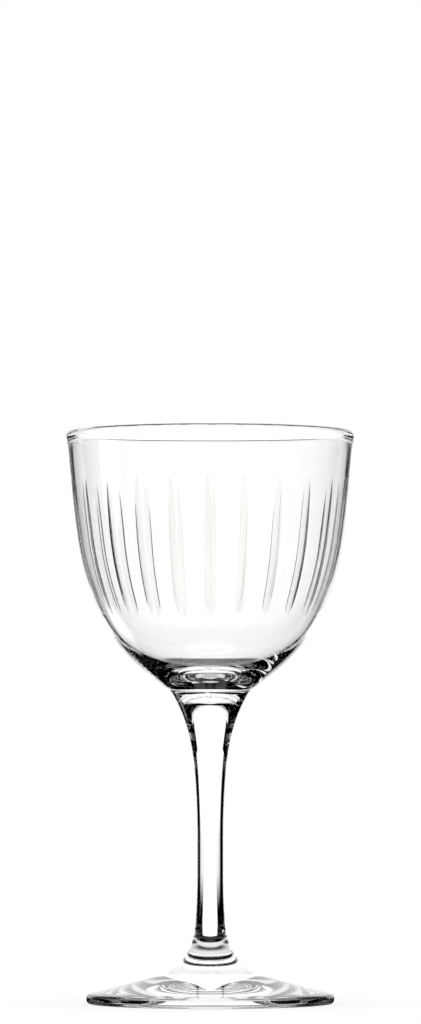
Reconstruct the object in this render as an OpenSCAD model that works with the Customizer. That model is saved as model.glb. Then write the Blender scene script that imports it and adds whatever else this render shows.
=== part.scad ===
// Small stemmed cocktail glass: a cut bowl on a drawn stem and a spread foot.
// Everything is a turned form about +Z. The origin is the middle of the ring that the foot rests on.
// A lean is an angle from the vertical, in degrees, where positive draws in towards the axis on the way down.

/* [Glass] */
// Height from the resting ring to the rim
height = 145; // [138:1:170]
// Diameter over the bead of the rim
rim_d = 73.6; // [70:0.1:78]

/* [Bowl] */
// Thickness of the wall below the bead
wall = 1.3; // [1:0.1:1.6]
// Thickness of the fire-polished bead
bead_d = 1.7; // [1.6:0.1:2.2]
// How far the bead stands out from the wall
bead_proud = 0.15; // [0.1:0.05:0.3]
// Lean of the wall at the rim
rim_lean = 3.9; // [2:0.1:6]
// Radius of the long upper arc
upper_r = 355; // [300:5:420]
// Lean where the upper arc meets the belly
belly_lean = 8.2; // [7:0.1:10]
// Radius of the belly arc
belly_r = 69; // [60:1:78]
// Lean where the belly meets the base
base_lean = 22.6; // [21:0.1:25]
// Radius of the base arc
base_r = 42.5; // [38:0.5:46]
// Lean of the straight cone under the bowl
cone_lean = 51.6; // [48:0.1:54]
// Radius of the tight fillet above the stem
fillet_r = 5; // [4:0.5:7]
// Lean where the inner wall leaves its even thickness and the heel begins
heel_lean = 32; // [29:0.5:35]
// Radius of the inner heel, between wall and floor
heel_r = 28; // [25:0.5:31]
// Lean where the heel meets the floor
floor_lean = 64; // [61:0.5:67]

/* [Cut flutes] */
// Number of flutes round the bowl
flute_count = 24; // [16:1:30]
// Depth of a flute below the wall
flute_depth = 0.3; // [0.2:0.05:0.45]
// Radius of the cutting wheel's rounded edge
flute_edge_r = 1.7; // [1.2:0.1:2.2]
// Lean where a flute begins to run out at its lower end
flute_heel_lean = 19.9; // [16:0.1:21]

/* [Stem] */
// Diameter at the waist
stem_d = 6.6; // [6:0.1:8]
// Lean at the seam between bowl and stem
seam_lean = 30.1; // [27:0.1:33]
// Radius of the stem's shoulder
shoulder_r = 38.7; // [34:0.1:42]
// Lean where the shoulder meets the neck
neck_lean = 12.2; // [10:0.1:14]
// Radius of the neck
neck_r = 62; // [54:1:70]
// Lean where the neck meets the taper
taper_lean = 4.8; // [4:0.1:5.5]
// Radius of the long taper above the waist
taper_r = 195; // [170:5:210]
// Lean outward where the taper below the waist meets the ankle
ankle_lean = 4.6; // [4:0.1:5.5]
// Radius of the taper below the waist
lower_taper_r = 156; // [140:2:170]
// Lean outward at the seam between stem and foot
hub_lean = 16.2; // [14:0.1:20]
// Radius of the ankle
ankle_r = 24; // [20:0.5:28]

/* [Foot] */
// Diameter of the foot
foot_d = 62.7; // [56:0.1:70]
// Radius of the flare from the hub to the spread disc
flare_r = 12; // [10:0.1:14]
// Lean outward where the flare meets the disc
disc_lean = 72; // [70:0.1:74]
// Lean outward of the disc at its edge
edge_lean = 78; // [77:0.1:82]
// Radius of the upper corner of the edge
edge_top_r = 0.7; // [0.5:0.1:1]
// Height of the straight part of the edge
edge_h = 0.9; // [0.5:0.1:1.5]
// Radius of the lower corner of the edge
edge_bottom_r = 1; // [0.6:0.1:1.3]
// Width of the ring that the glass rests on
ring_w = 3; // [2:0.5:5]
// Rise of the hollow under the foot
hollow_h = 1.2; // [0.8:0.1:2]

/* [Hidden] */
// Steps in a full turn about the axis
$fn = 240;
// Widest gap between an arc of an outline and the chords that draw it
chord_gap = 0.02;
// How far a cutting shape runs past what it cuts
overrun = 1;
clear_glass = [0.8, 0.89, 0.9];

// Where an arc ends and where its centre lies; a negative radius makes the arc hollow.
function arc_end(start, radius, lean_from, lean_to) =
    start - radius * [cos(lean_from) - cos(lean_to), sin(lean_to) - sin(lean_from)];
function arc_centre(start, radius, lean) = start - radius * [cos(lean), -sin(lean)];

// The points of an arc after its start, as many as keep its chords within the gap.
function arc_points(start, radius, lean_from, lean_to) =
    let (
        chord_angle = 2 * acos(1 - chord_gap / abs(radius)),
        steps = ceil(abs(lean_to - lean_from) / chord_angle)
    )
    [for (i = [1 : steps]) arc_end(start, radius, lean_from, lean_from + (lean_to - lean_from) * i / steps)];

// Outer outline of the bowl, from the bead down to the seam.
wall_top = [rim_d / 2 - bead_proud, height - bead_d / 2];
belly_top = arc_end(wall_top, upper_r, rim_lean, belly_lean);
base_top = arc_end(belly_top, belly_r, belly_lean, base_lean);
cone_top = arc_end(base_top, base_r, base_lean, cone_lean);

// The stem's widths follow from its waist, and the cone runs down until it meets them.
waist_r = stem_d / 2;
taper_top_r = waist_r + taper_r * (1 - cos(taper_lean));
neck_top_r = taper_top_r + neck_r * (cos(taper_lean) - cos(neck_lean));
seam_r = neck_top_r + shoulder_r * (cos(neck_lean) - cos(seam_lean));
fillet_top_r = seam_r + fillet_r * (cos(seam_lean) - cos(cone_lean));
fillet_top = [fillet_top_r, cone_top.y - (cone_top.x - fillet_top_r) / tan(cone_lean)];
seam = arc_end(fillet_top, -fillet_r, cone_lean, seam_lean);
neck_top = arc_end(seam, -shoulder_r, seam_lean, neck_lean);
taper_top = arc_end(neck_top, -neck_r, neck_lean, taper_lean);
waist_top = arc_end(taper_top, -taper_r, taper_lean, 0);

// The foot is measured from its edge, so the lower seam follows from the disc and its flare.
ankle_top_r = waist_r + lower_taper_r * (1 - cos(ankle_lean));
hub_r = ankle_top_r + ankle_r * (cos(ankle_lean) - cos(hub_lean));
disc_top_r = hub_r + flare_r * (cos(hub_lean) - cos(disc_lean));
edge_top_in = foot_d / 2 - edge_top_r * (1 - cos(edge_lean));
disc_r = (edge_top_in - disc_top_r) / (cos(disc_lean) - cos(edge_lean));
edge_top = [edge_top_in, edge_bottom_r + edge_h + edge_top_r * sin(edge_lean)];
disc_top = [disc_top_r, edge_top.y + disc_r * (sin(edge_lean) - sin(disc_lean))];
hub = [hub_r, disc_top.y + flare_r * (sin(disc_lean) - sin(hub_lean))];
ankle_top = [ankle_top_r, hub.y + ankle_r * (sin(hub_lean) - sin(ankle_lean))];
waist_bottom = [waist_r, ankle_top.y + lower_taper_r * sin(ankle_lean)];
hollow_r = foot_d / 2 - edge_bottom_r - ring_w;
hollow_sphere_r = (hollow_r * hollow_r + hollow_h * hollow_h) / (2 * hollow_h);
// The hollow is a small cap of a large sphere, so its circle takes more steps than a turn about the axis.
hollow_fn = 4 * $fn;

// Inner outline of the bowl: the wall keeps its thickness into the base, then the heel turns in to the floor.
inner_top = wall_top - wall * [cos(rim_lean), -sin(rim_lean)];
inner_belly = arc_end(inner_top, upper_r - wall, rim_lean, belly_lean);
inner_base = arc_end(inner_belly, belly_r - wall, belly_lean, base_lean);
inner_heel = arc_end(inner_base, base_r - wall, base_lean, heel_lean);
inner_floor = arc_end(inner_heel, heel_r, heel_lean, floor_lean);
floor_r = inner_floor.x / cos(floor_lean);

module bowl_outside() {
    polygon(concat(
        [[0, wall_top.y], wall_top],
        arc_points(wall_top, upper_r, rim_lean, belly_lean),
        arc_points(belly_top, belly_r, belly_lean, base_lean),
        arc_points(base_top, base_r, base_lean, cone_lean),
        [fillet_top],
        arc_points(fillet_top, -fillet_r, cone_lean, seam_lean),
        [[0, seam.y]]
    ));
}

module bowl_inside() {
    mouth = [inner_top.x, wall_top.y + overrun];
    polygon(concat(
        [[0, mouth.y], mouth, inner_top],
        arc_points(inner_top, upper_r - wall, rim_lean, belly_lean),
        arc_points(inner_belly, belly_r - wall, belly_lean, base_lean),
        arc_points(inner_base, base_r - wall, base_lean, heel_lean),
        arc_points(inner_heel, heel_r, heel_lean, floor_lean),
        arc_points(inner_floor, floor_r, floor_lean, 90)
    ));
}

// One flute: the wheel follows the belly at an even depth and leaves the wall along a straight line at each end.
module flute() {
    belly_centre = arc_centre(belly_top, belly_r, belly_lean);
    path_r = belly_r - flute_depth + flute_edge_r;
    upper_run = sqrt(2 * upper_r * (flute_depth + overrun));
    lower_run = sqrt(2 * belly_r * (flute_depth + overrun));
    translate([belly_centre.x, 0, belly_centre.y]) rotate([90, 0, 0]) {
        rotate([0, 0, -flute_heel_lean])
            rotate_extrude(angle = flute_heel_lean - belly_lean)
                translate([path_r, 0]) circle(r = flute_edge_r);
        rotate([0, 0, -belly_lean])
            translate([path_r, 0]) rotate([-90, 0, 0]) cylinder(h = upper_run, r = flute_edge_r);
        rotate([0, 0, -flute_heel_lean])
            translate([path_r, 0]) rotate([90, 0, 0]) cylinder(h = lower_run, r = flute_edge_r);
    }
}

module bowl() {
    color(clear_glass) difference() {
        union() {
            rotate_extrude() difference() {
                bowl_outside();
                bowl_inside();
            }
            translate([0, 0, wall_top.y]) rotate_extrude() translate([rim_d / 2 - bead_d / 2, 0]) circle(d = bead_d);
        }
        for (i = [0 : flute_count - 1]) rotate([0, 0, i * 360 / flute_count - 90]) flute();
    }
}

module stem() {
    color(clear_glass) rotate_extrude() polygon(concat(
        [[0, seam.y], seam],
        arc_points(seam, -shoulder_r, seam_lean, neck_lean),
        arc_points(neck_top, -neck_r, neck_lean, taper_lean),
        arc_points(taper_top, -taper_r, taper_lean, 0),
        [waist_bottom],
        arc_points(waist_bottom, -lower_taper_r, 0, -ankle_lean),
        arc_points(ankle_top, -ankle_r, -ankle_lean, -hub_lean),
        [[0, hub.y]]
    ));
}

module foot() {
    edge_side = [foot_d / 2, edge_bottom_r + edge_h];
    edge_low = edge_side - [0, edge_h];
    color(clear_glass) rotate_extrude() difference() {
        polygon(concat(
            [[0, hub.y], hub],
            arc_points(hub, -flare_r, -hub_lean, -disc_lean),
            arc_points(disc_top, -disc_r, -disc_lean, -edge_lean),
            arc_points(edge_top, edge_top_r, -edge_lean, 0),
            [edge_low],
            arc_points(edge_low, edge_bottom_r, 0, 90),
            [[0, 0]]
        ));
        translate([0, hollow_h - hollow_sphere_r]) circle(r = hollow_sphere_r, $fn = hollow_fn);
    }
}

bowl();
stem();
foot();
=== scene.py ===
import math

import bpy
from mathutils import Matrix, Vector


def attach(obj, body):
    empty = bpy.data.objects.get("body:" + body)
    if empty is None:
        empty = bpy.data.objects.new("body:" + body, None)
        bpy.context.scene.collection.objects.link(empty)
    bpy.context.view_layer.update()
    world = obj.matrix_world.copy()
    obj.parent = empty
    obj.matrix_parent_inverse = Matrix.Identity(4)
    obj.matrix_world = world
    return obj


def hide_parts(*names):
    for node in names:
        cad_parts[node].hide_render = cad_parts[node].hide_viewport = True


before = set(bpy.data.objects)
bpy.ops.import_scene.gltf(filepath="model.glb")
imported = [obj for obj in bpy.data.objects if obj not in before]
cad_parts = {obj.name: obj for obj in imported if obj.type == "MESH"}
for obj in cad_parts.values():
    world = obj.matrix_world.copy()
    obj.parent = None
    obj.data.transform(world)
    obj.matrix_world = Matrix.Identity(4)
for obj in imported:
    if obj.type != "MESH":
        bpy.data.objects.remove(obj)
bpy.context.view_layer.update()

# Sizes are in millimetres, as in the construction, and are turned to metres when a mesh is made.
# A lean is an angle from the vertical in degrees, positive where the outline draws in on the way down.
MM = 0.001
HEIGHT = 145
RIM_D = 73.6
WALL = 1.3
BEAD_D = 1.7
BEAD_PROUD = 0.15
RIM_LEAN = 3.9
UPPER_R = 355
BELLY_LEAN = 8.2
BELLY_R = 69
BASE_LEAN = 22.6
BASE_R = 42.5
CONE_LEAN = 51.6
FILLET_R = 5
HEEL_LEAN = 32
HEEL_R = 28
FLOOR_LEAN = 64
FLUTES = 24
FLUTE_DEPTH = 0.3
FLUTE_EDGE_R = 1.7
FLUTE_HEEL_LEAN = 19.9
STEM_D = 6.6
SEAM_LEAN = 30.1
SHOULDER_R = 38.7
NECK_LEAN = 12.2
NECK_R = 62
TAPER_LEAN = 4.8
TAPER_R = 195
ANKLE_LEAN = 4.6
LOWER_TAPER_R = 156
HUB_LEAN = 16.2
ANKLE_R = 24
FOOT_D = 62.7
FLARE_R = 12
DISC_LEAN = 72
EDGE_LEAN = 78
EDGE_TOP_R = 0.7
EDGE_H = 0.9
EDGE_BOTTOM_R = 1
RING_W = 3
HOLLOW_H = 1.2


def cos(degrees):
    return math.cos(math.radians(degrees))


def sin(degrees):
    return math.sin(math.radians(degrees))


def arc_end(start, radius, lean_from, lean_to):
    """Where an arc of the outline ends; a negative radius makes it hollow."""
    return (
        start[0] - radius * (cos(lean_from) - cos(lean_to)),
        start[1] - radius * (sin(lean_to) - sin(lean_from)),
    )


def arc(start, radius, lean_from, lean_to, steps):
    """The points of an arc after its start."""
    span = lean_to - lean_from
    return [arc_end(start, radius, lean_from, lean_from + span * i / steps) for i in range(1, steps + 1)]


def line(start, end, steps):
    """The points of a straight stretch after its start."""
    return [
        (start[0] + (end[0] - start[0]) * i / steps, start[1] + (end[1] - start[1]) * i / steps)
        for i in range(1, steps + 1)
    ]


# The joints of the outline, walked down from the rim as the construction does.
wall_top = (RIM_D / 2 - BEAD_PROUD, HEIGHT - BEAD_D / 2)
belly_top = arc_end(wall_top, UPPER_R, RIM_LEAN, BELLY_LEAN)
base_top = arc_end(belly_top, BELLY_R, BELLY_LEAN, BASE_LEAN)
cone_top = arc_end(base_top, BASE_R, BASE_LEAN, CONE_LEAN)
waist_r = STEM_D / 2
taper_top_r = waist_r + TAPER_R * (1 - cos(TAPER_LEAN))
neck_top_r = taper_top_r + NECK_R * (cos(TAPER_LEAN) - cos(NECK_LEAN))
seam_r = neck_top_r + SHOULDER_R * (cos(NECK_LEAN) - cos(SEAM_LEAN))
fillet_top_r = seam_r + FILLET_R * (cos(SEAM_LEAN) - cos(CONE_LEAN))
fillet_top = (fillet_top_r, cone_top[1] - (cone_top[0] - fillet_top_r) / math.tan(math.radians(CONE_LEAN)))
seam = arc_end(fillet_top, -FILLET_R, CONE_LEAN, SEAM_LEAN)
neck_top = arc_end(seam, -SHOULDER_R, SEAM_LEAN, NECK_LEAN)
taper_top = arc_end(neck_top, -NECK_R, NECK_LEAN, TAPER_LEAN)
waist_top = arc_end(taper_top, -TAPER_R, TAPER_LEAN, 0)

# The foot is measured from its edge, so the lower seam follows from the disc and its flare.
ankle_top_r = waist_r + LOWER_TAPER_R * (1 - cos(ANKLE_LEAN))
hub_r = ankle_top_r + ANKLE_R * (cos(ANKLE_LEAN) - cos(HUB_LEAN))
disc_top_r = hub_r + FLARE_R * (cos(HUB_LEAN) - cos(DISC_LEAN))
edge_top_in = FOOT_D / 2 - EDGE_TOP_R * (1 - cos(EDGE_LEAN))
disc_r = (edge_top_in - disc_top_r) / (cos(DISC_LEAN) - cos(EDGE_LEAN))
edge_top = (edge_top_in, EDGE_BOTTOM_R + EDGE_H + EDGE_TOP_R * sin(EDGE_LEAN))
disc_top = (disc_top_r, edge_top[1] + disc_r * (sin(EDGE_LEAN) - sin(DISC_LEAN)))
hub = (hub_r, disc_top[1] + FLARE_R * (sin(DISC_LEAN) - sin(HUB_LEAN)))
ankle_top = (ankle_top_r, hub[1] + ANKLE_R * (sin(HUB_LEAN) - sin(ANKLE_LEAN)))
waist_bottom = (waist_r, ankle_top[1] + LOWER_TAPER_R * sin(ANKLE_LEAN))
hollow_r = FOOT_D / 2 - EDGE_BOTTOM_R - RING_W
hollow_sphere_r = (hollow_r * hollow_r + HOLLOW_H * HOLLOW_H) / (2 * HOLLOW_H)

# The bowl's inside keeps the wall's thickness down to the heel, which turns in to the round floor.
inner_top = (wall_top[0] - WALL * cos(RIM_LEAN), wall_top[1] + WALL * sin(RIM_LEAN))
inner_belly = arc_end(inner_top, UPPER_R - WALL, RIM_LEAN, BELLY_LEAN)
inner_base = arc_end(inner_belly, BELLY_R - WALL, BELLY_LEAN, BASE_LEAN)
inner_heel = arc_end(inner_base, BASE_R - WALL, BASE_LEAN, HEEL_LEAN)
inner_floor = arc_end(inner_heel, HEEL_R, HEEL_LEAN, FLOOR_LEAN)
floor_r = inner_floor[0] / cos(FLOOR_LEAN)


# Meshes
# The material slots of a piece: the glass itself, its fused seams and, on the bowl, the cut flutes.
CLEAR, SEAM, CUT = range(3)
# Points nearer to the axis than this lie on it.
ON_AXIS = 1e-9
# In how many steps each arc or straight stretch of an outline is drawn.
INNER_STEPS = {"upper": 12, "belly": 10, "base": 8, "heel": 12, "floor": 24}
OUTER_STEPS = {"upper": 54, "belly": 36, "base": 28, "cone": 3, "fillet": 6}
STEM_STEPS = {"shoulder": 24, "neck": 14, "taper": 14, "waist": 8, "lower_taper": 14, "ankle": 12}
FOOT_STEPS = {"flare": 26, "disc": 16, "edge_top": 8, "edge": 2, "edge_bottom": 10, "ring": 2, "hollow": 18}
# Columns round the stem and the foot.
STEM_COLUMNS = 144
FOOT_COLUMNS = 216
# Columns across a flute and across the plain wall between two, in each row of the bowl.
FLUTE_COLUMNS = 12
LAND_COLUMNS = 6
PITCH_COLUMNS = FLUTE_COLUMNS + LAND_COLUMNS
# Half the width that a flute's columns keep at its tips, half the width that they spread to beyond a tip,
# the height over which they spread, and the most that half their width takes of the pitch.
NARROWEST = 0.12
WIDEST = 1.2
SPREAD_H = 9
PITCH_SHARE = 0.3
# Height over which the bead swells from the wall, and how far below it the wall's own points begin.
BEAD_BLEND_H = 2.2
BEAD_CLEARANCE = 0.1
BEAD_BLEND_STEPS = 6
BEAD_STEPS = 14


def revolve(name, section, columns, slot_of, sharp_edges, place=None):
    """Turns a section into a closed mesh. The section starts and ends on the axis, in millimetres.
    slot_of(row, column) gives the material slot of the face below a row and after a column.
    sharp_edges(rings) gives the sharp edges as pairs of vertices, from the vertices of each row.
    place(row, column) gives a point's radius, height and angle, where they aren't the section's own."""
    verts = []
    rings = []
    for row, (r, z) in enumerate(section):
        if r < ON_AXIS:
            rings.append([len(verts)] * columns)
            verts.append((0, 0, z * MM))
            continue
        rings.append(range(len(verts), len(verts) + columns))
        for column in range(columns):
            radius, height, angle = place(row, column) if place else (r, z, 2 * math.pi * column / columns)
            verts.append((radius * MM * math.cos(angle), radius * MM * math.sin(angle), height * MM))
    faces = []
    slots = []
    for row in range(len(section) - 1):
        for column in range(columns):
            after = (column + 1) % columns
            quad = [rings[row][column], rings[row + 1][column], rings[row + 1][after], rings[row][after]]
            face = [v for i, v in enumerate(quad) if v != quad[i - 1]]
            if len(face) > 2:
                faces.append(face)
                slots.append(slot_of(row, column))
    mesh = bpy.data.meshes.new(name)
    mesh.from_pydata(verts, [], faces)
    mesh.polygons.foreach_set("material_index", slots)
    mesh.polygons.foreach_set("use_smooth", [True] * len(faces))
    edges = {tuple(sorted(edge.vertices)): edge for edge in mesh.edges}
    for pair in sharp_edges(rings):
        edges[tuple(sorted(pair))].use_edge_sharp = True
    mesh.validate()
    mesh.update()
    piece = bpy.data.objects.new(name, mesh)
    bpy.context.scene.collection.objects.link(piece)
    return piece


def round_ring(ring):
    """The edges that join the vertices of a ring."""
    return [(vertex, ring[(column + 1) % len(ring)]) for column, vertex in enumerate(ring)]


def sharp_rows(*rows):
    """Makes the rings at the given rows the sharp edges."""
    return lambda rings: [edge for row in rows for edge in round_ring(rings[row])]


def seams_below(*rows):
    """Puts the faces below the given rows in the fused seam's slot."""
    return lambda row, column: SEAM if row in rows else CLEAR


def flute_depth_at(z):
    """Depth of a flute below the wall at a height: even along the belly, and running out at each end."""
    if z > wall_top[1] or z < cone_top[1]:
        return 0
    if z >= belly_top[1]:
        lean = math.asin(sin(BELLY_LEAN) - (z - belly_top[1]) / UPPER_R)
        run = UPPER_R * (math.radians(BELLY_LEAN) - lean)
        return max(0, FLUTE_DEPTH - run * run / (2 * UPPER_R))
    if z >= base_top[1]:
        lean = math.asin(sin(BELLY_LEAN) + (belly_top[1] - z) / BELLY_R)
        run = BELLY_R * max(0, lean - math.radians(FLUTE_HEEL_LEAN))
        return max(0, FLUTE_DEPTH - run * run / (2 * BELLY_R))
    slope = math.radians(BASE_LEAN - FLUTE_HEEL_LEAN)
    depth = FLUTE_DEPTH - BELLY_R * slope * slope / 2
    lean = math.asin(min(1, sin(BASE_LEAN) + (base_top[1] - z) / BASE_R))
    run = BASE_R * (lean - math.radians(BASE_LEAN))
    return max(0, depth - slope * run - run * run / (2 * BASE_R))


def bead_blend(low, wall_end, bead_x, bead_z):
    """Points from a place on the wall up to the bead's middle, eased from the wall to the bead's side."""
    points = []
    for i in range(1, BEAD_BLEND_STEPS):
        t = i / BEAD_BLEND_STEPS
        ease = t * t * (3 - 2 * t)
        wall_x = low[0] + (wall_end[0] - low[0]) * t
        points.append((wall_x + (bead_x - wall_end[0]) * ease, low[1] + (bead_z - low[1]) * t))
    return points


def bowl_section():
    """The bowl's section, from the floor over the bead to the seam, and its first row below the bead."""
    blend_lean = RIM_LEAN + math.degrees(BEAD_BLEND_H / UPPER_R)
    inner_low = arc_end(inner_top, UPPER_R - WALL, RIM_LEAN, blend_lean)
    outer_low = arc_end(wall_top, UPPER_R, RIM_LEAN, blend_lean)

    inner = arc(inner_top, UPPER_R - WALL, RIM_LEAN, BELLY_LEAN, INNER_STEPS["upper"])
    inner += arc(inner_belly, BELLY_R - WALL, BELLY_LEAN, BASE_LEAN, INNER_STEPS["belly"])
    inner += arc(inner_base, BASE_R - WALL, BASE_LEAN, HEEL_LEAN, INNER_STEPS["base"])
    inner += arc(inner_heel, HEEL_R, HEEL_LEAN, FLOOR_LEAN, INNER_STEPS["heel"])
    inner += arc(inner_floor, floor_r, FLOOR_LEAN, 90, INNER_STEPS["floor"])
    inner[-1] = (0.0, inner[-1][1])
    inner = [inner_low] + [p for p in inner if p[1] < inner_low[1] - BEAD_CLEARANCE]

    # The bead swells from the wall over a short blend on each side and is round on top.
    bead_r = BEAD_D / 2
    middle_x = RIM_D / 2 - bead_r
    middle_z = wall_top[1]
    bead = bead_blend(inner_low, inner_top, middle_x - bead_r, middle_z)
    for i in range(BEAD_STEPS + 1):
        turn = 180 - 180 * i / BEAD_STEPS
        bead.append((middle_x + bead_r * cos(turn), middle_z + bead_r * sin(turn)))
    bead += bead_blend(outer_low, wall_top, middle_x + bead_r, middle_z)[::-1]

    upper_arc = arc(wall_top, UPPER_R, RIM_LEAN, BELLY_LEAN, OUTER_STEPS["upper"])
    outer = [outer_low] + [p for p in upper_arc if p[1] < outer_low[1] - BEAD_CLEARANCE]
    outer += arc(belly_top, BELLY_R, BELLY_LEAN, BASE_LEAN, OUTER_STEPS["belly"])
    outer += arc(base_top, BASE_R, BASE_LEAN, CONE_LEAN, OUTER_STEPS["base"])
    outer += line(cone_top, fillet_top, OUTER_STEPS["cone"])
    outer += arc(fillet_top, -FILLET_R, CONE_LEAN, SEAM_LEAN, OUTER_STEPS["fillet"])
    return inner[::-1] + bead + outer + [(0.0, seam[1])], len(inner) + len(bead)


def cuts_in(section, rows):
    """Each row's cut by a flute: its depth, half its width and the direction square to the wall."""
    cuts = {}
    for row in rows:
        r, z = section[row]
        depth = flute_depth_at(z)
        half_width = math.sqrt(2 * depth / (1 / FLUTE_EDGE_R + 1 / r)) if depth > 0 else 0
        above = section[row - 1]
        below = section[min(row + 1, rows[-1])]
        run = (above[0] - below[0], above[1] - below[1])
        size = math.hypot(*run)
        cuts[row] = (depth, half_width, (run[1] / size, -run[0] / size))
    return cuts


def make_bowl():
    """The bowl, with its columns drawn together along the flutes so that each cut has clean edges."""
    section, first_outer = bowl_section()
    last_outer = len(section) - 2
    outer_rows = range(first_outer, last_outer + 1)
    cuts = cuts_in(section, outer_rows)
    cut_z = [section[row][1] for row in outer_rows if cuts[row][0] > 0]
    low_tip, high_tip = min(cut_z), max(cut_z)
    columns = FLUTES * PITCH_COLUMNS
    pitch = 2 * math.pi / FLUTES

    def is_cut(row):
        """Whether the flutes cut into the band of faces below a row."""
        return any(edge in cuts and cuts[edge][0] > 0 for edge in (row, row + 1))

    def place(row, column):
        r, z = section[row]
        depth, half_width, normal = cuts.get(row, (0, WIDEST, (1, 0)))
        beyond = max(low_tip - z, z - high_tip, 0)
        spread = NARROWEST + (WIDEST - NARROWEST) * min(1, beyond / SPREAD_H)
        half_angle = min(max(half_width, spread) / r, pitch * PITCH_SHARE)
        flute, step = divmod(column, PITCH_COLUMNS)
        middle = flute * pitch - math.pi / 2
        if step <= FLUTE_COLUMNS:
            share = 2 * step / FLUTE_COLUMNS - 1
            angle = middle + share * half_angle
            cut = depth * (1 - share * share)
        else:
            share = (step - FLUTE_COLUMNS) / LAND_COLUMNS
            angle = middle + half_angle + share * (pitch - 2 * half_angle)
            cut = 0
        return r - cut * normal[0], z - cut * normal[1], angle

    def slot_of(row, column):
        if row == last_outer:
            return SEAM
        return CUT if column % PITCH_COLUMNS < FLUTE_COLUMNS and is_cut(row) else CLEAR

    def sharp_edges(rings):
        """The two sides of each flute, and the ring where the seam begins."""
        sides = [column for column in range(columns) if column % PITCH_COLUMNS in (0, FLUTE_COLUMNS)]
        cut_rows = [row for row in outer_rows[:-1] if is_cut(row)]
        pairs = [(rings[row][column], rings[row + 1][column]) for row in cut_rows for column in sides]
        return pairs + round_ring(rings[last_outer])

    return revolve("bowl_glass", section, columns, slot_of, sharp_edges, place)


def make_stem():
    """The stem, from the seam under the bowl down to the seam on the foot."""
    section = [(0.0, seam[1]), seam]
    section += arc(seam, -SHOULDER_R, SEAM_LEAN, NECK_LEAN, STEM_STEPS["shoulder"])
    section += arc(neck_top, -NECK_R, NECK_LEAN, TAPER_LEAN, STEM_STEPS["neck"])
    section += arc(taper_top, -TAPER_R, TAPER_LEAN, 0, STEM_STEPS["taper"])
    section += line(waist_top, waist_bottom, STEM_STEPS["waist"])
    section += arc(waist_bottom, -LOWER_TAPER_R, 0, -ANKLE_LEAN, STEM_STEPS["lower_taper"])
    section += arc(ankle_top, -ANKLE_R, -ANKLE_LEAN, -HUB_LEAN, STEM_STEPS["ankle"])
    section += [(0.0, hub[1])]
    last = len(section) - 2
    return revolve("stem_glass", section, STEM_COLUMNS, seams_below(0, last), sharp_rows(1, last))


def make_foot():
    """The foot, from its hub over the disc and the edge to the hollow underneath."""
    edge_side = (FOOT_D / 2, EDGE_BOTTOM_R + EDGE_H)
    edge_low = (FOOT_D / 2, EDGE_BOTTOM_R)
    section = [(0.0, hub[1]), hub]
    section += arc(hub, -FLARE_R, -HUB_LEAN, -DISC_LEAN, FOOT_STEPS["flare"])
    section += arc(disc_top, -disc_r, -DISC_LEAN, -EDGE_LEAN, FOOT_STEPS["disc"])
    section += arc(edge_top, EDGE_TOP_R, -EDGE_LEAN, 0, FOOT_STEPS["edge_top"])
    section += line(edge_side, edge_low, FOOT_STEPS["edge"])
    section += arc(edge_low, EDGE_BOTTOM_R, 0, 90, FOOT_STEPS["edge_bottom"])
    section += line(section[-1], (hollow_r, 0.0), FOOT_STEPS["ring"])
    ring_row = len(section) - 1
    steps = FOOT_STEPS["hollow"]
    for i in range(1, steps + 1):
        r = hollow_r * (1 - i / steps)
        section.append((r, HOLLOW_H - hollow_sphere_r + math.sqrt(hollow_sphere_r ** 2 - r * r)))
    return revolve("foot_glass", section, FOOT_COLUMNS, seams_below(0), sharp_rows(1, ring_row))


# Nodes
WHITE = (1.0, 1.0, 1.0, 1.0)
BLACK = (0.0, 0.0, 0.0, 1.0)
# The kinds of ray that leave a face of the glass.
FROM_GLASS = ("Is Glossy Ray", "Is Transmission Ray")


def feed(tree, value, socket):
    """Links an output to a socket, or gives the socket a constant."""
    if isinstance(value, bpy.types.NodeSocket):
        tree.links.new(value, socket)
    else:
        socket.default_value = value


def operate(tree, operation, *values):
    """The output of a Math node."""
    node = tree.nodes.new("ShaderNodeMath")
    node.operation = operation
    for socket, value in zip(node.inputs, values):
        feed(tree, value, socket)
    return node.outputs["Value"]


def is_any_ray(tree, *kinds):
    """1 for a ray of one of the given kinds, and otherwise 0."""
    path = tree.nodes.new("ShaderNodeLightPath")
    total = path.outputs[kinds[0]]
    for kind in kinds[1:]:
        total = operate(tree, "MAXIMUM", total, path.outputs[kind])
    return total


def noise(tree, coords, scale, detail, seed):
    """The output of a noise over the object, in a pattern of its own for each seed."""
    node = tree.nodes.new("ShaderNodeTexNoise")
    node.noise_dimensions = "4D"
    node.inputs["Scale"].default_value = scale
    node.inputs["Detail"].default_value = detail
    node.inputs["W"].default_value = seed
    tree.links.new(coords, node.inputs["Vector"])
    return node.outputs["Fac"]


def map_range(tree, value, from_range, to_range, kind="LINEAR"):
    """The output of a Map Range node fed by a value."""
    node = tree.nodes.new("ShaderNodeMapRange")
    node.interpolation_type = kind
    node.inputs["From Min"].default_value, node.inputs["From Max"].default_value = from_range
    node.inputs["To Min"].default_value, node.inputs["To Max"].default_value = to_range
    tree.links.new(value, node.inputs["Value"])
    return node.outputs["Result"]


def ramp(tree, value, stops):
    """The output of a grey ramp through pairs of position and level, fed by a value."""
    node = tree.nodes.new("ShaderNodeValToRGB")
    elements = node.color_ramp.elements
    elements.remove(elements[-1])
    elements[0].position, level = stops[0]
    elements[0].color = (level, level, level, 1)
    for position, level in stops[1:]:
        element = elements.new(position)
        element.color = (level, level, level, 1)
    tree.links.new(value, node.inputs["Fac"])
    return node.outputs["Color"]


def mix_colours(tree, share, first, second):
    """The output of a Mix node for colours, which is the second one where share is 1."""
    node = tree.nodes.new("ShaderNodeMix")
    node.data_type = "RGBA"
    tree.links.new(share, node.inputs["Factor"])
    feed(tree, first, node.inputs["A"])
    feed(tree, second, node.inputs["B"])
    return node.outputs["Result"]


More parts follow.
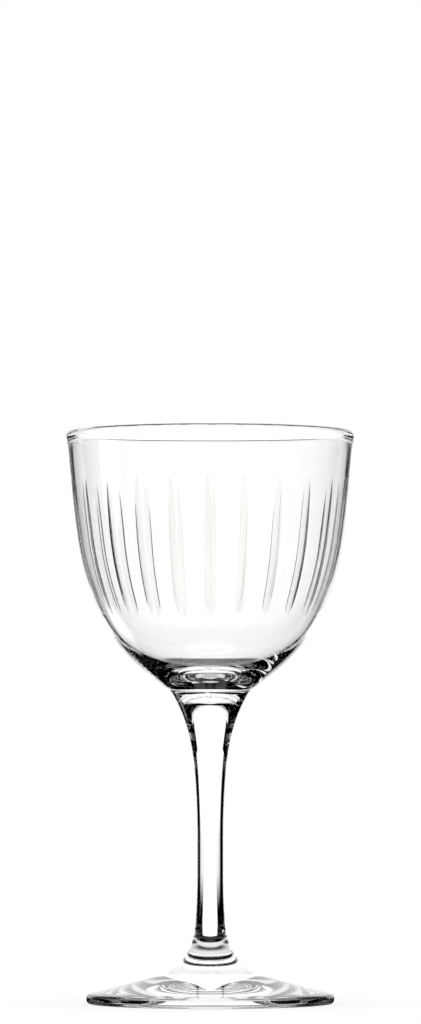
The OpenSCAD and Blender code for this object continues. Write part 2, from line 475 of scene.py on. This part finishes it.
def mix_shaders(tree, share, first, second):
    """The output of a Mix Shader node, which shows the second shader where share is 1."""
    node = tree.nodes.new("ShaderNodeMixShader")
    tree.links.new(share, node.inputs["Fac"])
    tree.links.new(first, node.inputs[1])
    tree.links.new(second, node.inputs[2])
    return node.outputs["Shader"]


def bare_material(name):
    """A material with nothing but its output node."""
    material = bpy.data.materials.new(name)
    material.use_nodes = True
    material.node_tree.nodes.remove(material.node_tree.nodes["Principled BSDF"])
    return material


# Materials
GLASS_IOR = 1.5
GLASS_TINT = (0.99, 0.99, 0.985, 1.0)
GLASS_HAZE = 0.006
# Waves left by the fire: how fine they are and how high, in metres.
WAVE_SCALE = 55
WAVE_DETAIL = 1.0
WAVE_HEIGHT = 0.0002
# Smears in the finish: the stretch of the noise over which the haze comes up, and how much lighter the
# tint is between them.
SMEAR_SCALE = 140
SMEAR_DETAIL = 3.0
SMEAR_RANGE = (0.45, 0.75)
SMEAR_LIFT = 1.01
SMEAR_SEED_STEP = 5
# The faint tint of the glass's thickness.
DEPTH_COLOUR = (0.88, 0.9, 0.84, 1.0)
DEPTH_DENSITY = 2.0
# The cut flutes were polished less bright than the blown glass, so they are a little hazier; their darker
# grey tint is painted shade in the grooves.
CUT_SEED = 4.0
CUT_WAVINESS = 0.08
CUT_PAINTED_SHADE = (0.9, 0.895, 0.885, 1.0)
CUT_HAZE = 0.03


def glass(name, seed, waviness, tint_and_painted_shade=GLASS_TINT, haze=GLASS_HAZE):
    """Clear glass: waves left by the fire, smears in the finish, and a trace of tint in the depth."""
    material = bpy.data.materials.new(name)
    material.use_nodes = True
    tree = material.node_tree
    shader = tree.nodes["Principled BSDF"]
    shader.inputs["IOR"].default_value = GLASS_IOR
    shader.inputs["Transmission Weight"].default_value = 1.0
    coords = tree.nodes.new("ShaderNodeTexCoord").outputs["Object"]
    bump = tree.nodes.new("ShaderNodeBump")
    bump.inputs["Strength"].default_value = waviness
    bump.inputs["Distance"].default_value = WAVE_HEIGHT
    tree.links.new(noise(tree, coords, WAVE_SCALE, WAVE_DETAIL, seed), bump.inputs["Height"])
    tree.links.new(bump.outputs["Normal"], shader.inputs["Normal"])
    smears = noise(tree, coords, SMEAR_SCALE, SMEAR_DETAIL, seed + SMEAR_SEED_STEP)
    tree.links.new(map_range(tree, smears, SMEAR_RANGE, (0.0, haze)), shader.inputs["Roughness"])
    # The base colour is the glass's tint; on the cut flutes it is darkened as painted shade.
    lighter = [min(1, level * SMEAR_LIFT) for level in tint_and_painted_shade]
    tree.links.new(mix_colours(tree, smears, lighter, tint_and_painted_shade), shader.inputs["Base Color"])
    add_depth(tree)
    return material


def add_depth(tree):
    """The faint tint of the glass's thickness."""
    depth = tree.nodes.new("ShaderNodeVolumeAbsorption")
    depth.inputs["Color"].default_value = DEPTH_COLOUR
    depth.inputs["Density"].default_value = DEPTH_DENSITY
    tree.links.new(depth.outputs["Volume"], tree.nodes["Material Output"].inputs["Volume"])


def fused_seam():
    """The hot-fused seam inside the glass, which light passes without a trace."""
    material = bare_material("fused_seam")
    tree = material.node_tree
    clear = tree.nodes.new("ShaderNodeBsdfTransparent")
    tree.links.new(clear.outputs["BSDF"], tree.nodes["Material Output"].inputs["Surface"])
    add_depth(tree)
    return material


seam_material = fused_seam()
for make_piece, node, seed, waviness in (
    (make_bowl, "bowl", 1.0, 0.04),
    (make_stem, "stem", 2.0, 0.06),
    (make_foot, "foot", 3.0, 0.06),
):
    piece = make_piece()
    piece.data.materials.append(glass(node + "_clear", seed, waviness))
    piece.data.materials.append(seam_material)
    if node == "bowl":
        # The flutes' material has a real haze and painted shade in its darker tint.
        piece.data.materials.append(glass("bowl_cut_haze_and_painted_shade", CUT_SEED, CUT_WAVINESS, CUT_PAINTED_SHADE, CUT_HAZE))
    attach(piece, "root")
    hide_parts(node)


# Stage and light
# The floor is a pale disc that takes the shadow and fades into the white background at its edge.
# The glass shows it as a painted ring of light under the hollow of the foot, with painted shade at its
# middle and outwards.
FLOOR_REACH = 60
FLOOR_SINK = 0.02
FLOOR_STEPS = 96
FLOOR_COLOUR = (0.88, 0.88, 0.88, 1.0)
# The share of plain white in the floor that the camera sees, under the foot.
FLOOR_WHITE = 0.8
# Pairs of distance from the axis and level of the painted light and shade that the glass sees on the floor.
FLOOR_PAINTED_LIGHT = ((0, 0.08), (5, 0.08), (9, 0.85), (28, 0.85), (31.5, 0.0))

# Black flags behind the bowl, outside the picture: where they stand from the glass's axis, in millimetres.
FLAG_BACK = 120
FLAG_NEAR = 73
FLAG_FAR = 140
FLAG_LOW = 95
FLAG_HIGH = 152

# The light panels that the glass shows, each a rounded patch of directions with darkness about it:
# azimuth from +Y, elevation, half width and half height in degrees, squareness of the corners, and level.
PANELS = (
    # Behind the glass: one up to the zenith, and one about the horizon.
    (0, 43, 39.5, 46, 12, 1.2),
    (0, 0, 22, 28, 2, 1.14),
    # A softer one above the camera.
    (180, 40, 50, 20, 2, 0.6),
    # Behind the glass for a view from its right side, from the right above, and from behind.
    (-90, -3, 11, 7, 2, 1.15),
    (-45, -25, 12, 10, 2, 1.15),
    (135, -15, 12, 10, 2, 1.15),
)
# A panel's level fades out about its outline, which PANEL_SCALE puts in the middle of the ramp.
PANEL_SCALE = 0.5
PANEL_FADE = ((0.0, 1.0), (0.47, 1.0), (0.525, 0.0))

# The photograph is taken from a little below the middle of the glass. Angles are in degrees.
CAMERA_DISTANCE = 1429
CAMERA_HEIGHT = 65
CAMERA_PITCH = 2.383
CAMERA_AZIMUTH = 1.07
CAMERA_SIDE = 0.05
CAMERA_LENS = 198
CAMERA_SENSOR = 36
# In metres.
CAMERA_CLIP = 0.01

# Light passes many faces of glass on its way, so it needs more bounces than the default.
BOUNCES = 24


def stage_shape(name, corners):
    """Makes a flat face of the stage, given in millimetres, and gives the node tree of its bare material."""
    mesh = bpy.data.meshes.new(name)
    mesh.from_pydata([(x * MM, y * MM, z * MM) for x, y, z in corners], [], [tuple(range(len(corners)))])
    shape = bpy.data.objects.new(name, mesh)
    bpy.context.scene.collection.objects.link(shape)
    material = bare_material(name)
    mesh.materials.append(material)
    return material.node_tree


def make_floor():
    """The floor, which is a pale disc to the camera and, to the glass, a painted ring of light with painted
    shade about it.
    """
    turns = [360 * step / FLOOR_STEPS for step in range(FLOOR_STEPS)]
    ring = [(FLOOR_REACH * cos(turn), FLOOR_REACH * sin(turn), -FLOOR_SINK) for turn in turns]
    tree = stage_shape("floor", ring)
    length = tree.nodes.new("ShaderNodeVectorMath")
    length.operation = "LENGTH"
    geometry = tree.nodes.new("ShaderNodeNewGeometry")
    tree.links.new(geometry.outputs["Position"], length.inputs[0])
    from_axis = length.outputs["Value"]

    matt = tree.nodes.new("ShaderNodeBsdfDiffuse")
    matt.inputs["Color"].default_value = FLOOR_COLOUR
    glow = tree.nodes.new("ShaderNodeEmission")
    glow.inputs["Strength"].default_value = 1.0
    fade = map_range(tree, from_axis, (FOOT_D / 2 * MM, FLOOR_REACH * MM), (FLOOR_WHITE, 1.0), "SMOOTHSTEP")
    white = operate(tree, "MULTIPLY", is_any_ray(tree, "Is Camera Ray"), fade)
    pale = mix_shaders(tree, white, matt.outputs["BSDF"], glow.outputs["Emission"])

    # Painted light and shade: an emission that only the glass sees, bright under the hollow of the foot and
    # dark at its middle and outwards.
    painted_ring = tree.nodes.new("ShaderNodeEmission")
    share_out = map_range(tree, from_axis, (0.0, FLOOR_REACH * MM), (0.0, 1.0))
    stops = [(distance / FLOOR_REACH, level) for distance, level in FLOOR_PAINTED_LIGHT]
    tree.links.new(ramp(tree, share_out, stops), painted_ring.inputs["Strength"])
    floor = mix_shaders(tree, is_any_ray(tree, *FROM_GLASS), pale, painted_ring.outputs["Emission"])
    tree.links.new(floor, tree.nodes["Material Output"].inputs["Surface"])


def make_flag(name, side):
    """A flag that only the glass shows: it draws the bowl's walls as dark lines."""
    corners = ((FLAG_NEAR, FLAG_LOW), (FLAG_FAR, FLAG_LOW), (FLAG_FAR, FLAG_HIGH), (FLAG_NEAR, FLAG_HIGH))
    tree = stage_shape(name, [(side * x, FLAG_BACK, z) for x, z in corners])
    cloth = tree.nodes.new("ShaderNodeBsdfDiffuse")
    cloth.inputs["Color"].default_value = BLACK
    clear = tree.nodes.new("ShaderNodeBsdfTransparent")
    flag = mix_shaders(tree, is_any_ray(tree, *FROM_GLASS), clear.outputs["BSDF"], cloth.outputs["BSDF"])
    tree.links.new(flag, tree.nodes["Material Output"].inputs["Surface"])


def make_world():
    """The studio: plain white to the camera and to matt faces, and the light panels to the glass."""
    world = bpy.data.worlds.new("studio")
    bpy.context.scene.world = world
    world.use_nodes = True
    tree = world.node_tree
    coords = tree.nodes.new("ShaderNodeTexCoord")
    split = tree.nodes.new("ShaderNodeSeparateXYZ")
    tree.links.new(coords.outputs["Generated"], split.inputs["Vector"])
    azimuth = operate(tree, "ARCTAN2", split.outputs["X"], split.outputs["Y"])
    elevation = operate(tree, "ARCSINE", split.outputs["Z"])
    studio = 0.0
    for centre, rise, half_width, half_height, squareness, level in PANELS:
        aside = operate(tree, "SUBTRACT", azimuth, math.radians(centre))
        across = operate(tree, "WRAP", aside, -math.pi, math.pi)
        up = operate(tree, "SUBTRACT", elevation, math.radians(rise))
        powers = []
        for offset, half in ((across, half_width), (up, half_height)):
            share = operate(tree, "ABSOLUTE", operate(tree, "DIVIDE", offset, math.radians(half)))
            powers.append(operate(tree, "POWER", share, float(squareness)))
        reach = operate(tree, "POWER", operate(tree, "ADD", *powers), 1 / squareness)
        fade = ramp(tree, operate(tree, "MULTIPLY", reach, PANEL_SCALE), PANEL_FADE)
        studio = operate(tree, "MAXIMUM", studio, operate(tree, "MULTIPLY", fade, level))
    plain = is_any_ray(tree, "Is Camera Ray", "Is Diffuse Ray")
    background = tree.nodes["Background"]
    background.inputs["Strength"].default_value = 1.0
    tree.links.new(mix_colours(tree, plain, studio, WHITE), background.inputs["Color"])


def make_camera():
    """The camera, at the photograph's viewing angle."""
    data = bpy.data.cameras.new("camera")
    data.lens = CAMERA_LENS
    data.sensor_width = CAMERA_SENSOR
    data.clip_start = CAMERA_CLIP
    camera = bpy.data.objects.new("camera", data)
    bpy.context.scene.collection.objects.link(camera)
    right = Vector((cos(CAMERA_AZIMUTH), sin(CAMERA_AZIMUTH), 0))
    ahead = Vector((-sin(CAMERA_AZIMUTH), cos(CAMERA_AZIMUTH), 0))
    beside = CAMERA_SIDE * MM * right
    camera.location = -CAMERA_DISTANCE * MM * ahead + beside + Vector((0, 0, CAMERA_HEIGHT * MM))
    camera.rotation_euler = (math.radians(90 + CAMERA_PITCH), 0, math.radians(CAMERA_AZIMUTH))
    bpy.context.scene.camera = camera


make_floor()
make_flag("left_flag", -1)
make_flag("right_flag", 1)
make_world()
make_camera()

scene = bpy.context.scene
scene.view_settings.view_transform = "Standard"
scene.cycles.max_bounces = BOUNCES
scene.cycles.transmission_bounces = BOUNCES
scene.cycles.glossy_bounces = BOUNCES
scene.cycles.transparent_max_bounces = BOUNCES
